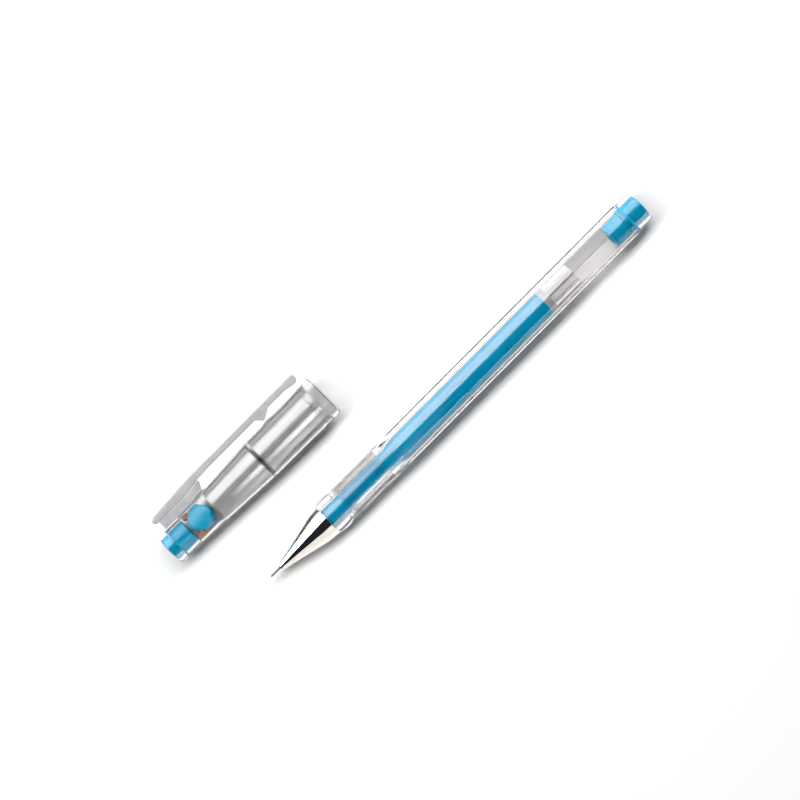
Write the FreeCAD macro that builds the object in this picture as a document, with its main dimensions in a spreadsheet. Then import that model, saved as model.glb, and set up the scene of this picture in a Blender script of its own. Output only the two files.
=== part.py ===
import FreeCAD, Part
import math
import os
import Sketcher

# Gel pen, lying uncapped with its cap beside it. Millimetres.
# +X runs along the pen from the needle to the tail, +Y from the pen to the cap, +Z up.
# The origin is the middle of the box's bottom face, on the table.
# Pen pieces are drawn with x = 0 at the needle's tip, cap pieces with x = 0 at the crown's end,
# both about their own long axis, and a Placement lays each of them down.

SIZES = {
    # lay-out on the table
    "cap_lead": 13.1,           # the crown's end lies this far ahead of the needle's tip
    "axis_gap": 22.6,           # between the pen's and the cap's long axes
    # needle, ball and holder
    "ball_rad": 0.2,
    "ball_gap": 0.02,           # running clearance of the ball in the needle
    "ball_proud": 0.12,
    "needle_rad": 0.28,
    "needle_len": 6.6,
    "needle_show": 3.25,        # how much of the needle stands out of the cone
    "nose_gap": 0.06,           # between the needle and the cone's nose
    "holder_start": 1.8,        # the holder's front, behind the cone's front
    "holder_nose_rad": 0.7,
    "neck_way": 0.08,           # round the holder's rim and the tube's neck, in the cone
    "holder_taper_len": 8.25,
    "holder_rim_len": 1.3,
    "holder_plug_len": 4.8,
    "holder_duct_rad": 0.8,
    "seat_gap": 0.02,           # between pieces that are pushed together
    # chrome cone
    "cone_len": 17.0,
    "cone_lip_rad": 0.8,
    "cone_lip_len": 0.75,
    "cone_nose_rad": 1.05,
    "cone_slope_len": 11.25,
    "cone_slope_rad": 3.78,
    "cone_bend_len": 3.0,
    "cone_bend_rad": 4.25,
    "cone_bend_arc": 13.0,
    "cone_back_rad": 4.42,
    "socket_depth": 3.95,
    "spigot_len": 3.75,
    "spigot_rad": 3.56,
    "spigot_gap": 0.05,         # the barrel's spigot in the cone's socket
    # refill
    "tube_bore": 2.3,
    "tube_neck_rad": 2.75,
    "tube_rad": 3.1,
    "tube_neck_len": 27.3,
    "tube_taper_len": 3.0,
    "tube_len": 92.3,
    "tube_notch": 0.6,
    "ink_len": 77.3,
    "grease_len": 1.85,
    "grease_dish": 0.5,
    # barrel
    "barrel_len": 105.65,       # from the barrel's front face to the seam at its tail
    "barrel_bore": 3.2,
    "ring_front_rad": 4.35,
    "ring_rad": 4.85,
    "ring_rise": 1.2,
    "ring_len": 4.5,
    "ring_arc": 9.0,
    "neck_rad": 4.5,
    "neck_len": 1.4,
    "grip_rad": 4.8,
    "grip_len": 14.6,
    "rib_pitch": 0.65,
    "rib_width": 0.36,
    "rib_depth": 0.14,
    "rib_margin": 0.35,
    "blend_len": 5.0,
    "blend_rad": 5.3,
    "flat_half": 4.75,          # half the width across the barrel's flats
    "corner_round": 2.0,
    "bore_half": 3.6,           # half the width across the flats of the hexagonal bore
    # tail
    "stem_rad": 2.95,
    "stem_len": 6.15,
    "stem_chamfer": 0.3,
    "stem_ring_at": 0.75,
    "stem_ring_width": 0.3,
    "stem_ring_depth": 0.18,
    "collar_len": 1.0,
    "flange_len": 0.6,
    "end_ring_len": 4.3,
    "end_ring_wall": 1.15,
    "end_ring_round": 0.5,
    "head_rad": 3.4,
    "head_proud": 0.3,
    "head_round": 0.6,
    "head_gap": 0.05,           # between a plug's head and the clear ring round it
    "plug_core_rad": 1.9,
    "plug_floor": 3.0,
    # cap: shell
    "crown_rad": 4.5,
    "crown_seam": 3.0,          # the shell starts behind the crown's flange
    "rear_rad": 4.95,
    "rear_at": 15.8,
    "mid_rad": 5.8,
    "mid_at": 31.9,
    "lip_rad": 6.0,
    "cap_len": 54.75,
    "lip_bore": 5.15,
    "lip_len": 2.35,
    "lip_round": 0.3,
    "shell_wall": 0.58,
    "groove_width": 0.55,
    "groove_depth": 0.2,
    "fine_groove_width": 0.3,
    "fine_groove_depth": 0.12,
    "fine_groove_pitch": 0.8,
    "fine_groove_at": 4.4,      # the hindmost fine groove, back from the lip's end
    # cap: crown plug and ring
    "crown_head_rad": 3.3,
    "crown_ring_wall": 1.1,
    "crown_ring_inset": 0.3,
    "crown_flange_len": 0.4,
    "crown_flange_rad": 4.2,
    "crown_stem_len": 4.2,
    # cap: seal and inner cap
    "seal_start": 7.3,
    "seal_len": 2.2,
    "seal_bore": 3.9,
    "seal_bore_end": 13.3,
    "seal_bridge": 2.0,
    "seal_slot": 5.4,
    "boss_start": 7.9,
    "boss_len": 6.7,
    "boss_half": 3.1,
    "boss_round": 1.2,
    "boss_rear_half": 1.2,
    "boss_rear_len": 2.2,
    "boss_front_half": 0.75,
    "boss_front_len": 1.5,
    "boss_gap": 0.05,
    "boss_roll": 10.0,          # degrees that the seal and the inner cap are turned in the cap
    "needle_way_rad": 0.6,
    # cap: silver sleeves
    "sleeve_wall": 0.2,
    "sleeve_gap": 0.04,
    "sleeve_seam": 1.2,         # bare stretch between the two sleeves, at the groove
    # clip
    "clip_width": 3.4,
    "clip_start": 1.95,
    "clip_end": 52.8,
    "clip_flex_at": 17.2,
    "clip_split": 0.05,
    "clip_rear_in": 6.8,
    "clip_rear_out": 8.7,
    "clip_bend_at": 12.0,
    "clip_bend_in": 6.9,
    "clip_in": 7.75,
    "clip_out": 9.5,
    "clip_step_at": 21.0,
    "clip_edge_round": 0.45,
    "clip_end_round": 0.8,
    "clip_bead_in": 7.2,
    "clip_bead_len": 1.9,
    "barb_start": 38.0,
    "barb_tip_at": 39.7,
    "barb_end": 42.6,
    "barb_tip_rad": 6.02,
    "web_width": 1.7,
    "web_start": 3.2,
    "web_end_top": 17.0,
    "web_end_foot": 15.6,
    "web_foot_rear": 4.2,
    "web_foot_front": 4.66,
}

# Places along the pen, each a sum of sizes.
CONE_FRONT = "needle_show"
CONE_BACK = CONE_FRONT + " + cone_len"
HOLDER_FRONT = CONE_FRONT + " + holder_start"
HOLDER_RIM = HOLDER_FRONT + " + holder_taper_len"
TUBE_FRONT = HOLDER_RIM + " + holder_rim_len"
HOLDER_BACK = TUBE_FRONT + " + holder_plug_len"
TUBE_SHOULDER = TUBE_FRONT + " + tube_neck_len"
TUBE_BACK = TUBE_FRONT + " + tube_len"
INK_BACK = HOLDER_BACK + " + ink_len"
RING_BACK = CONE_BACK + " + ring_len"
GRIP_FRONT = RING_BACK + " + neck_len"
GRIP_BACK = GRIP_FRONT + " + grip_len"
BLEND_BACK = GRIP_BACK + " + blend_len"
SEAM = CONE_BACK + " + barrel_len"
HEXAGON_LEN = "barrel_len - ring_len - neck_len - grip_len"
FLANGE_BACK = SEAM + " + flange_len"
STEM_FRONT = SEAM + " - stem_len"
END_RING_BACK = FLANGE_BACK + " + end_ring_len"
PEN_END = END_RING_BACK + " + head_proud"
FLANGE_RAD = "head_rad + head_gap + end_ring_wall"      # flush with the clear ring

# Places along the cap.
CROWN_FLANGE = "crown_seam - crown_flange_len"
STEM_END = "crown_seam + crown_stem_len"
SEAL_END = "seal_start + seal_len"
BOSS_END = "boss_start + boss_len"
LIP_START = "cap_len - lip_len"
REAR_SLEEVE_END = "mid_at - 0.5 * groove_width"
FRONT_SLEEVE_START = REAR_SLEEVE_END + " + sleeve_seam"

# Where the two axes lie.
PEN_PLACE = (
    "0.5 * cap_lead - 0.5 * needle_show - 0.5 * cone_len - 0.5 * barrel_len"
    " - 0.5 * flange_len - 0.5 * end_ring_len - 0.5 * head_proud",
    "0.5 * ring_rad - 0.5 * axis_gap - 0.5 * clip_out",
    # a hexagon on its rounded corner: flat / cos 30 less what the rounding takes off
    "1.154701 * flat_half - 0.154701 * corner_round",
)
CAP_PLACE = (
    PEN_PLACE[0] + " - cap_lead",
    PEN_PLACE[1] + " + axis_gap",
    "lip_rad",
)

doc = FreeCAD.newDocument("gel_pen")
sheet = doc.addObject("Spreadsheet::Sheet", "Sizes")
for row, (alias, size) in enumerate(SIZES.items(), start=1):
    sheet.set(f"A{row}", alias)
    sheet.set(f"B{row}", str(size))
    sheet.setAlias(f"B{row}", alias)
doc.recompute()


def terms(text):
    """The signed terms of a sum such as 'cap_len - 0.5 * lip_len', each a list of factors."""
    signed = text.replace("- ", "+ -1 * ").split("+")
    return [[factor.strip() for factor in term.split("*")] for term in signed if term.strip()]


def scaled(text, factor):
    """A sum with every term multiplied by the same factor."""
    return " + ".join(f"{factor} * " + " * ".join(factors) for factors in terms(text))


def is_number(word):
    return word.lstrip("-").replace(".", "", 1).isdigit()


def amount(text):
    """What a sum of sizes comes to, in millimetres."""
    total = 0.0
    for factors in terms(text):
        product = 1.0
        for word in factors:
            product *= float(word) if is_number(word) else float(sheet.get(word))
        total += product
    return total


def formula(text):
    """The same sum as a FreeCAD expression on the sheet."""
    parts = [" * ".join(w if is_number(w) else "Sizes." + w for w in factors) for factors in terms(text)]
    return " + ".join(parts)


def bind(thing, name, text):
    thing.setExpression(name, formula(text))


def body_at(label, place, roll=None):
    """A PartDesign body with its own label, laid where its axis lies."""
    body = doc.addObject("PartDesign::Body", label)
    body.Label = label
    if roll:
        body.Placement = FreeCAD.Placement(
            FreeCAD.Vector(), FreeCAD.Rotation(FreeCAD.Vector(1, 0, 0), amount(roll))
        )
        bind(body, "Placement.Rotation.Angle", roll)
    for side, text in zip("xyz", place):
        bind(body, f"Placement.Base.{side}", text)
    return body


def plane(body, role):
    return next(f for f in body.Origin.OriginFeatures if f.Role == role)


def sketch_on(body, name, role, offset=None):
    """A sketch on one of the body's own planes, moved off it by offset along the plane's normal."""
    sketch = body.newObject("Sketcher::SketchObject", name)
    sketch.AttachmentSupport = (plane(body, role), [""])
    sketch.MapMode = "FlatFace"
    if offset:
        bind(sketch, "AttachmentOffset.Base.z", offset)
    return sketch


def fix_point(sketch, edge, end, across, up):
    """Ties a point to the sketch's origin by two sums of sizes."""
    for kind, text in (("DistanceX", across), ("DistanceY", up)):
        if text == "0":
            axis = -2 if kind == "DistanceX" else -1
            sketch.addConstraint(Sketcher.Constraint("PointOnObject", edge, end, axis))
        else:
            number = sketch.addConstraint(
                Sketcher.Constraint(kind, -1, 1, edge, end, amount(text))
            )
            bind(sketch, f"Constraints[{number}]", text)


def outline(sketch, corners):
    """A closed outline. A corner is (across, up), or (across, up, radius) where an arc leads on
    from it to the next corner, bulging to the left of the way along for a radius that starts
    with '-' and to the right otherwise."""
    spots = [FreeCAD.Vector(amount(c[0]), amount(c[1]), 0) for c in corners]
    ends = []
    for i, corner in enumerate(corners):
        start, stop = spots[i], spots[(i + 1) % len(spots)]
        if len(corner) == 2:
            edge = sketch.addGeometry(Part.LineSegment(start, stop), False)
            ends.append((edge, 1, 2))
            continue
        name = corner[2].lstrip("-")
        radius = amount(name)
        chord = stop.sub(start)
        left = FreeCAD.Vector(-chord.y, chord.x, 0).normalize()
        side = 1 if corner[2].startswith("-") else -1
        sag = radius - math.sqrt(radius**2 - (chord.Length / 2) ** 2)
        middle = start.add(chord * 0.5).add(left * side * sag)
        edge = sketch.addGeometry(Part.Arc(start, middle, stop), False)
        # arcs are kept anticlockwise, so one that bulges to the left starts at its far end
        ends.append((edge, 2, 1) if side == 1 else (edge, 1, 2))
        number = sketch.addConstraint(Sketcher.Constraint("Radius", edge, radius))
        bind(sketch, f"Constraints[{number}]", name)
    for i, corner in enumerate(corners):
        edge, first, last = ends[i]
        before = ends[i - 1]
        sketch.addConstraint(Sketcher.Constraint("Coincident", before[0], before[2], edge, first))
        fix_point(sketch, edge, first, corner[0], corner[1])


def turned(body, name, corners, kind="PartDesign::Revolution"):
    """A full turn about the body's X axis of an outline given as (x, radius) corners."""
    sketch = sketch_on(body, name + "_outline", "XZ_Plane")
    outline(sketch, corners)
    turn = body.newObject(kind, name)
    turn.Profile = sketch
    turn.ReferenceAxis = (sketch, ["H_Axis"])
    turn.Angle = 360
    doc.recompute()
    return turn


def cut_turn(body, name, corners):
    """Material turned away, with a check that it really went."""
    before = body.Shape.Volume
    groove = turned(body, name, corners, "PartDesign::Groove")
    if not body.Shape.Volume < before:
        raise ValueError(f"{name} cuts nothing")
    return groove


def box_outline(start, stop, low, high):
    """The four corners of a rectangle from start to stop and from low to high."""
    return [(start, low), (stop, low), (stop, high), (start, high)]


def hexagon(sketch, half):
    """A regular hexagon with two corners on the up axis and half its width across the flats."""
    corner = 2 / math.sqrt(3)
    other = scaled(half, -1)
    outline(
        sketch,
        [
            (half, scaled(half, -corner / 2)),
            (half, scaled(half, corner / 2)),
            ("0", scaled(half, corner)),
            (other, scaled(half, corner / 2)),
            (other, scaled(half, -corner / 2)),
            ("0", scaled(half, -corner)),
        ],
    )


def lengthwise(shape, least):
    """Names of the straight edges of a shape that run along X and are at least this long."""
    found = []
    for number, edge in enumerate(shape.Edges, start=1):
        ends = [v.Point for v in edge.Vertexes]
        if len(ends) == 2 and abs(ends[1].x - ends[0].x) >= least:
            if abs(ends[1].y - ends[0].y) + abs(ends[1].z - ends[0].z) < 0.001:
                found.append(f"Edge{number}")
    return found


def rounded(body, name, base, edges, radius):
    fillet = body.newObject("PartDesign::Fillet", name)
    fillet.Base = (base, edges)
    fillet.Radius = amount(radius)
    bind(fillet, "Radius", radius)
    doc.recompute()
    return fillet


def padded(body, name, sketch, length, both_ways=False):
    pad = body.newObject("PartDesign::Pad", name)
    pad.Profile = sketch
    pad.Midplane = both_ways
    bind(pad, "Length", length)
    doc.recompute()
    return pad


def hex_bar(body, name, start, length, half, radius):
    """A hexagonal bar along X with its long edges rounded."""
    sketch = sketch_on(body, name + "_section", "YZ_Plane", start)
    hexagon(sketch, half)
    pad = padded(body, name, sketch, length)
    return rounded(body, name + "_corners", pad, lengthwise(pad.Shape, amount(length) - 0.01), radius)


def make_tip_ball():
    ball = doc.addObject("Part::Sphere", "tip_ball")
    bind(ball, "Radius", "ball_rad")
    bind(ball, "Placement.Base.x", PEN_PLACE[0] + " + ball_rad")
    bind(ball, "Placement.Base.y", PEN_PLACE[1])
    bind(ball, "Placement.Base.z", PEN_PLACE[2])
    return ball


def make_needle_tube():
    """A steel tube that carries the ink to the ball, which turns in its open front end."""
    body = body_at("needle_tube", PEN_PLACE)
    bore = "ball_rad + ball_gap"
    turned(body, "tube", box_outline("ball_proud", "ball_proud + needle_len", bore, "needle_rad"))
    return body


def make_tip_holder():
    """Joins the needle to the ink tube: needle seat, taper, rim, and a plug in the tube."""
    body = body_at("tip_holder", PEN_PLACE)
    seat_end = "ball_proud + needle_len"
    turned(
        body,
        "holder",
        [
            (HOLDER_FRONT, "needle_rad"),
            (seat_end, "needle_rad"),
            (seat_end, "holder_duct_rad"),
            (HOLDER_BACK, "holder_duct_rad"),
            (HOLDER_BACK, "tube_bore - seat_gap"),
            (TUBE_FRONT, "tube_bore - seat_gap"),
            (TUBE_FRONT, "tube_neck_rad"),
            (HOLDER_RIM, "tube_neck_rad"),
            (HOLDER_FRONT, "holder_nose_rad"),
        ],
    )
    return body


def make_front_cone():
    """The chromed cone: a bullet outside, and inside the needle's hole, a taper for the holder
    and a socket for the barrel's spigot."""
    body = body_at("front_cone", PEN_PLACE)
    nose = "needle_rad + nose_gap"
    socket = "spigot_rad + spigot_gap"
    cavity = "tube_neck_rad + neck_way"
    slope_end = CONE_FRONT + " + cone_lip_len + cone_slope_len"
    socket_start = CONE_BACK + " - socket_depth"
    turned(
        body,
        "cone",
        [
            (CONE_FRONT, nose),
            (HOLDER_FRONT + " - seat_gap", nose),
            (HOLDER_FRONT + " - seat_gap", "holder_nose_rad + seat_gap"),
            (HOLDER_RIM + " - seat_gap", cavity),
            (socket_start, cavity),
            (socket_start, socket),
            (CONE_BACK, socket),
            (CONE_BACK, "cone_back_rad"),
            (slope_end + " + cone_bend_len", "cone_bend_rad", "cone_bend_arc"),
            (slope_end, "cone_slope_rad"),
            (CONE_FRONT + " + cone_lip_len", "cone_nose_rad"),
            (CONE_FRONT + " + 0.5 * cone_lip_len", "cone_nose_rad"),
            (CONE_FRONT, "cone_lip_rad"),
        ],
    )
    return body


def make_ink_tube():
    """A clear tube with a slimmer neck at its front and a small notch in its rear rim."""
    body = body_at("ink_tube", PEN_PLACE)
    taper_back = TUBE_SHOULDER + " + tube_taper_len"
    turned(
        body,
        "tube",
        [
            (TUBE_FRONT, "tube_bore"),
            (TUBE_BACK, "tube_bore"),
            (TUBE_BACK, "tube_rad"),
            (taper_back, "tube_rad"),
            (TUBE_SHOULDER, "tube_neck_rad"),
            (TUBE_FRONT, "tube_neck_rad"),
        ],
    )
    sketch = sketch_on(body, "notch_outline", "XY_Plane")
    across = "0.5 * tube_notch"
    start = TUBE_BACK + " - tube_notch"
    outline(sketch, box_outline(start, TUBE_BACK + " + tube_notch", "-1 * " + across, across))
    notch = body.newObject("PartDesign::Pocket", "notch")
    notch.Profile = sketch
    notch.Reversed = True
    bind(notch, "Length", "tube_rad + tube_notch")
    before = body.Shape.Volume
    doc.recompute()
    if not body.Shape.Volume < before:
        raise ValueError("the notch cuts nothing")
    return body


def make_ink_column():
    body = body_at("ink_column", PEN_PLACE)
    turned(body, "ink", box_outline(HOLDER_BACK, INK_BACK, "0", "tube_bore - seat_gap"))
    return body


def make_ink_follower():
    """A plug of grease behind the ink, with a dished rear face."""
    body = body_at("ink_follower", PEN_PLACE)
    back = INK_BACK + " + grease_len"
    turned(
        body,
        "grease",
        [
            (INK_BACK, "0"),
            (back + " - grease_dish", "0"),
            (back, "tube_bore - seat_gap"),
            (INK_BACK, "tube_bore - seat_gap"),
        ],
    )
    return body


def make_barrel():
    """Clear barrel: spigot, front ring, ribbed round grip, then a rounded hexagonal stretch whose
    flats run out in scallops where it meets the grip. The bore is round, then hexagonal."""
    body = body_at("barrel", PEN_PLACE)
    hex_bar(body, "hexagon", GRIP_BACK, HEXAGON_LEN, "flat_half", "corner_round")
    spigot_front = CONE_BACK + " - spigot_len"
    ring_top = CONE_BACK + " + ring_rise"
    turned(
        body,
        "grip",
        [
            (spigot_front, "barrel_bore"),
            (GRIP_BACK + " + 0.1 * blend_len", "barrel_bore"),
            (GRIP_BACK + " + 0.1 * blend_len", "grip_rad"),
            (GRIP_FRONT, "grip_rad"),
            (GRIP_FRONT + " - 0.2 * neck_len", "neck_rad"),
            (RING_BACK, "neck_rad"),
            (RING_BACK + " - 0.1 * ring_len", "ring_rad"),
            (ring_top, "ring_rad", "ring_arc"),
            (CONE_BACK, "ring_front_rad"),
            (CONE_BACK, "spigot_rad"),
            (spigot_front, "spigot_rad"),
        ],
    )
    cut_turn(
        body,
        "scallops",
        [
            (GRIP_BACK, "grip_rad"),
            (BLEND_BACK, "blend_rad"),
            (BLEND_BACK, "blend_rad + blend_rad"),
            (GRIP_BACK, "blend_rad + blend_rad"),
        ],
    )
    cut_turn(
        body,
        "round_bore",
        box_outline(spigot_front + " - 1", BLEND_BACK, "0", "barrel_bore"),
    )
    before = body.Shape.Volume
    start = GRIP_BACK + " + 0.2 * blend_len"
    sketch = sketch_on(body, "hex_bore_section", "YZ_Plane", start)
    hexagon(sketch, "bore_half")
    bore = body.newObject("PartDesign::Pocket", "hex_bore")
    bore.Profile = sketch
    bore.Reversed = True
    bind(bore, "Length", "barrel_len")
    doc.recompute()
    if not body.Shape.Volume < before:
        raise ValueError("the hexagonal bore cuts nothing")
    return ribs(body)


def ribs(body):
    """Fine rings turned into the grip, one groove repeated along it."""
    first = GRIP_FRONT + " + rib_margin"
    groove = cut_turn(
        body,
        "rib_groove",
        [
            (first, "grip_rad"),
            (first + " + 0.3 * rib_width", "grip_rad - rib_depth"),
            (first + " + 0.7 * rib_width", "grip_rad - rib_depth"),
            (first + " + rib_width", "grip_rad"),
            (first + " + rib_width", "grip_rad + rib_depth"),
            (first, "grip_rad + rib_depth"),
        ],
    )
    count = int((amount("grip_len - 2 * rib_margin - rib_width")) / amount("rib_pitch")) + 1
    row = body.newObject("PartDesign::LinearPattern", "rib_row")
    row.Originals = [groove]
    row.Direction = (groove.Profile[0], ["H_Axis"])
    row.Occurrences = count
    row.Length = amount("rib_pitch") * (count - 1)
    row.setExpression("Length", f"Sizes.rib_pitch * {count - 1}")
    body.Tip = row
    doc.recompute()
    return body


def make_tail_plug():
    """Coloured plug: stem with a ring line, hexagonal collar in the bore, flange, and a head."""
    body = body_at("tail_plug", PEN_PLACE)
    ring_start = STEM_FRONT + " + stem_ring_at"
    ring_stop = ring_start + " + stem_ring_width"
    turned(
        body,
        "plug",
        [
            (STEM_FRONT, "plug_core_rad"),
            (PEN_END + " - plug_floor", "plug_core_rad"),
            (PEN_END + " - plug_floor", "0"),
            (PEN_END, "0"),
            (PEN_END, "head_rad - head_round", "head_round"),
            (PEN_END + " - head_round", "head_rad"),
            (FLANGE_BACK, "head_rad"),
            (FLANGE_BACK, FLANGE_RAD),
            (SEAM, FLANGE_RAD),
            (SEAM, "stem_rad"),
            (ring_stop, "stem_rad"),
            (ring_stop, "stem_rad - stem_ring_depth"),
            (ring_start, "stem_rad - stem_ring_depth"),
            (ring_start, "stem_rad"),
            (STEM_FRONT + " + stem_chamfer", "stem_rad"),
            (STEM_FRONT, "stem_rad - stem_chamfer"),
        ],
    )
    sketch = sketch_on(body, "collar_section", "YZ_Plane", SEAM + " - collar_len")
    hexagon(sketch, "bore_half - seat_gap")
    padded(body, "collar", sketch, "collar_len")
    cut_turn(
        body,
        "collar_bore",
        box_outline(SEAM + " - 2 * collar_len", SEAM, "0", "plug_core_rad"),
    )
    return body


def end_ring(label, place, start, stop, head, wall, open_end_first):
    """A clear ring round a plug's head, rounded at its outer end."""
    body = body_at(label, place)
    inner = head + " + head_gap"
    outer = inner + " + " + wall
    if open_end_first:
        corners = [
            (start, inner),
            (stop, inner),
            (stop, outer),
            (start + " + end_ring_round", outer, "end_ring_round"),
            (start, outer + " - end_ring_round"),
        ]
    else:
        corners = [
            (start, inner),
            (stop, inner),
            (stop, outer + " - end_ring_round", "end_ring_round"),
            (stop + " - end_ring_round", outer),
            (start, outer),
        ]
    turned(body, "ring", corners)
    return body


def make_cap_shell():
    """Clear tapered shell: a narrow bore for the crown's stem, a wider one for the seal, a tapered
    bore for the sleeves, and a plain bore at the lip. A slot on top takes the clip's web."""
    body = body_at("cap_shell", CAP_PLACE)
    turned(
        body,
        "shell",
        [
            ("crown_seam", "crown_head_rad + head_gap"),
            ("seal_start", "crown_head_rad + head_gap"),
            ("seal_start", "seal_bore"),
            ("seal_bore_end", "seal_bore"),
            ("rear_at", "rear_rad - shell_wall"),
            ("mid_at", "mid_rad - shell_wall"),
            (LIP_START, "lip_rad - shell_wall"),
            (LIP_START, "lip_bore"),
            ("cap_len", "lip_bore"),
            ("cap_len", "lip_rad - lip_round", "lip_round"),
            ("cap_len - lip_round", "lip_rad"),
            (LIP_START, "lip_rad"),
            ("mid_at", "mid_rad"),
            ("rear_at", "rear_rad"),
            ("seal_start", "crown_rad"),
            ("crown_seam", "crown_rad"),
        ],
    )
    half = "0.5 * groove_width"
    cut_turn(
        body,
        "middle_groove",
        box_outline("mid_at - " + half, "mid_at + " + half, "mid_rad - groove_depth", "lip_rad"),
    )
    first = "cap_len - fine_groove_at"
    top = "lip_rad - fine_groove_depth"
    for number in range(3):
        start = first + f" + {number} * fine_groove_pitch"
        cut_turn(
            body,
            f"fine_groove_{number + 1}",
            box_outline(start, start + " + fine_groove_width", top, "lip_rad + lip_round"),
        )
    sketch = sketch_on(body, "web_slot_outline", "XY_Plane")
    outline(sketch, web_corners("seat_gap"))
    slot = body.newObject("PartDesign::Pocket", "web_slot")
    slot.Profile = sketch
    slot.Midplane = True
    bind(slot, "Length", "web_width + 2 * seat_gap")
    doc.recompute()
    return body


def web_corners(gap):
    """The clip's web from the side, its foot in the shell and its front edge leaning forward, with
    gap added all round."""
    top = "clip_bend_in + 0.5 * clip_edge_round"
    return [
        ("web_start - " + gap, "web_foot_rear - " + gap),
        ("web_end_foot + " + gap, "web_foot_front - " + gap),
        ("web_end_top + " + gap, top),
        ("web_start - " + gap, top),
    ]


def make_crown_plug():
    """Coloured plug in the cap's closed end: head, flange at the seam, and stem."""
    body = body_at("crown_plug", CAP_PLACE)
    turned(
        body,
        "plug",
        [
            ("0", "0"),
            (STEM_END, "0"),
            (STEM_END, "crown_head_rad"),
            ("crown_seam", "crown_head_rad"),
            ("crown_seam", "crown_flange_rad"),
            (CROWN_FLANGE, "crown_flange_rad"),
            (CROWN_FLANGE, "crown_head_rad"),
            ("head_round", "crown_head_rad", "head_round"),
            ("0", "crown_head_rad - head_round"),
        ],
    )
    return body


def make_tip_seal():
    """Rubber seal that the needle's tip presses into: a disc cut down to a bridge in the middle,
    where the inner cap's two prongs grip it."""
    body = body_at("tip_seal", CAP_PLACE, "boss_roll")
    turned(body, "disc", box_outline("seal_start", SEAL_END, "0", "seal_bore - seat_gap"))
    for name, way in (("upper_slot", 1), ("lower_slot", -1)):
        sketch = sketch_on(body, name + "_outline", "YZ_Plane", "seal_start - seat_gap")
        low = f"{0.5 * way} * seal_bridge"
        high = f"{way} * seal_bore"
        outline(sketch, box_outline("-0.5 * seal_slot", "0.5 * seal_slot", low, high))
        slot = body.newObject("PartDesign::Pocket", name)
        slot.Profile = sketch
        slot.Reversed = True
        bind(slot, "Length", "seal_len + 2 * seat_gap")
        before = body.Shape.Volume
        doc.recompute()
        if not body.Shape.Volume < before:
            raise ValueError(f"{name} cuts nothing")
    return body


def make_inner_cap():
    """Coloured block that points towards the mouth. Two prongs at its rear grip the seal's bridge
    and the needle passes through a hole along it."""
    body = body_at("inner_cap", CAP_PLACE, "boss_roll")
    sketch = sketch_on(body, "plan", "XY_Plane")
    rear = "boss_start + boss_rear_len"
    front = BOSS_END + " - boss_front_len"
    outline(
        sketch,
        [
            ("boss_start", "-1 * boss_rear_half"),
            (rear, "-1 * boss_half"),
            (front, "-1 * boss_half"),
            (BOSS_END, "-1 * boss_front_half"),
            (BOSS_END, "boss_front_half"),
            (front, "boss_half"),
            (rear, "boss_half"),
            ("boss_start", "boss_rear_half"),
        ],
    )
    block = padded(body, "block", sketch, "2 * boss_half", both_ways=True)
    rounded(body, "block_edges", block, lengthwise(block.Shape, 0.5), "boss_round")
    cut_turn(body, "needle_way", box_outline("boss_start", BOSS_END, "0", "needle_way_rad"))
    sketch = sketch_on(body, "bridge_slot_outline", "XZ_Plane")
    half = "0.5 * seal_bridge + boss_gap"
    outline(
        sketch,
        box_outline("boss_start - boss_gap", SEAL_END + " + boss_gap", scaled(half, -1), half),
    )
    slot = body.newObject("PartDesign::Pocket", "bridge_slot")
    slot.Profile = sketch
    slot.Midplane = True
    bind(slot, "Length", "4 * boss_half")
    before = body.Shape.Volume
    doc.recompute()
    if not body.Shape.Volume < before:
        raise ValueError("the bridge's slot cuts nothing")
    return body


def make_sleeve(label, start, start_bore, stop, stop_bore):
    """A thin silver liner that follows the shell's tapered bore."""
    body = body_at(label, CAP_PLACE)
    turned(
        body,
        "sleeve",
        [
            (start, start_bore + " - sleeve_gap - sleeve_wall"),
            (stop, stop_bore + " - sleeve_gap - sleeve_wall"),
            (stop, stop_bore + " - sleeve_gap"),
            (start, start_bore + " - sleeve_gap"),
        ],
    )
    return body


def make_clip_root():
    """The clip's fixed end: a bar with a web that stands in the shell's slot."""
    body = body_at("clip_root", CAP_PLACE)
    sketch = sketch_on(body, "bar_outline", "XY_Plane")
    stop = "clip_flex_at - clip_split"
    outline(
        sketch,
        [
            ("clip_start", "clip_rear_in + clip_edge_round"),
            ("clip_start + clip_edge_round", "clip_rear_in"),
            ("clip_bend_at", "clip_bend_in"),
            (stop, "clip_in - 0.3 * clip_edge_round"),
            (stop, "clip_out"),
            ("clip_start + 2 * clip_edge_round", "clip_rear_out"),
            ("clip_start", "clip_rear_out - 2 * clip_edge_round"),
        ],
    )
    padded(body, "bar", sketch, "clip_width", both_ways=True)
    sketch = sketch_on(body, "web_outline", "XY_Plane")
    outline(sketch, web_corners("0 * seat_gap"))
    padded(body, "web", sketch, "web_width", both_ways=True)
    return body


def make_clip_arm():
    """The clip's springing arm, with a barb that grips the cloth and a beaded free end."""
    body = body_at("clip_arm", CAP_PLACE)
    sketch = sketch_on(body, "arm_outline", "XY_Plane")
    bead_start = "clip_end - clip_bead_len"
    outline(
        sketch,
        [
            ("clip_flex_at", "clip_in - 0.3 * clip_edge_round"),
            ("clip_step_at", "clip_in"),
            ("barb_start", "clip_in"),
            ("barb_tip_at", "barb_tip_rad"),
            ("barb_end", "clip_in"),
            (bead_start + " - clip_bead_len", "clip_in"),
            (bead_start, "clip_bead_in"),
            ("clip_end - clip_end_round", "clip_bead_in", "clip_end_round"),
            ("clip_end", "clip_bead_in + clip_end_round"),
            ("clip_end", "clip_out - clip_end_round", "clip_end_round"),
            ("clip_end - clip_end_round", "clip_out"),
            ("clip_flex_at", "clip_out"),
        ],
    )
    padded(body, "arm", sketch, "clip_width", both_ways=True)
    return body


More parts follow.
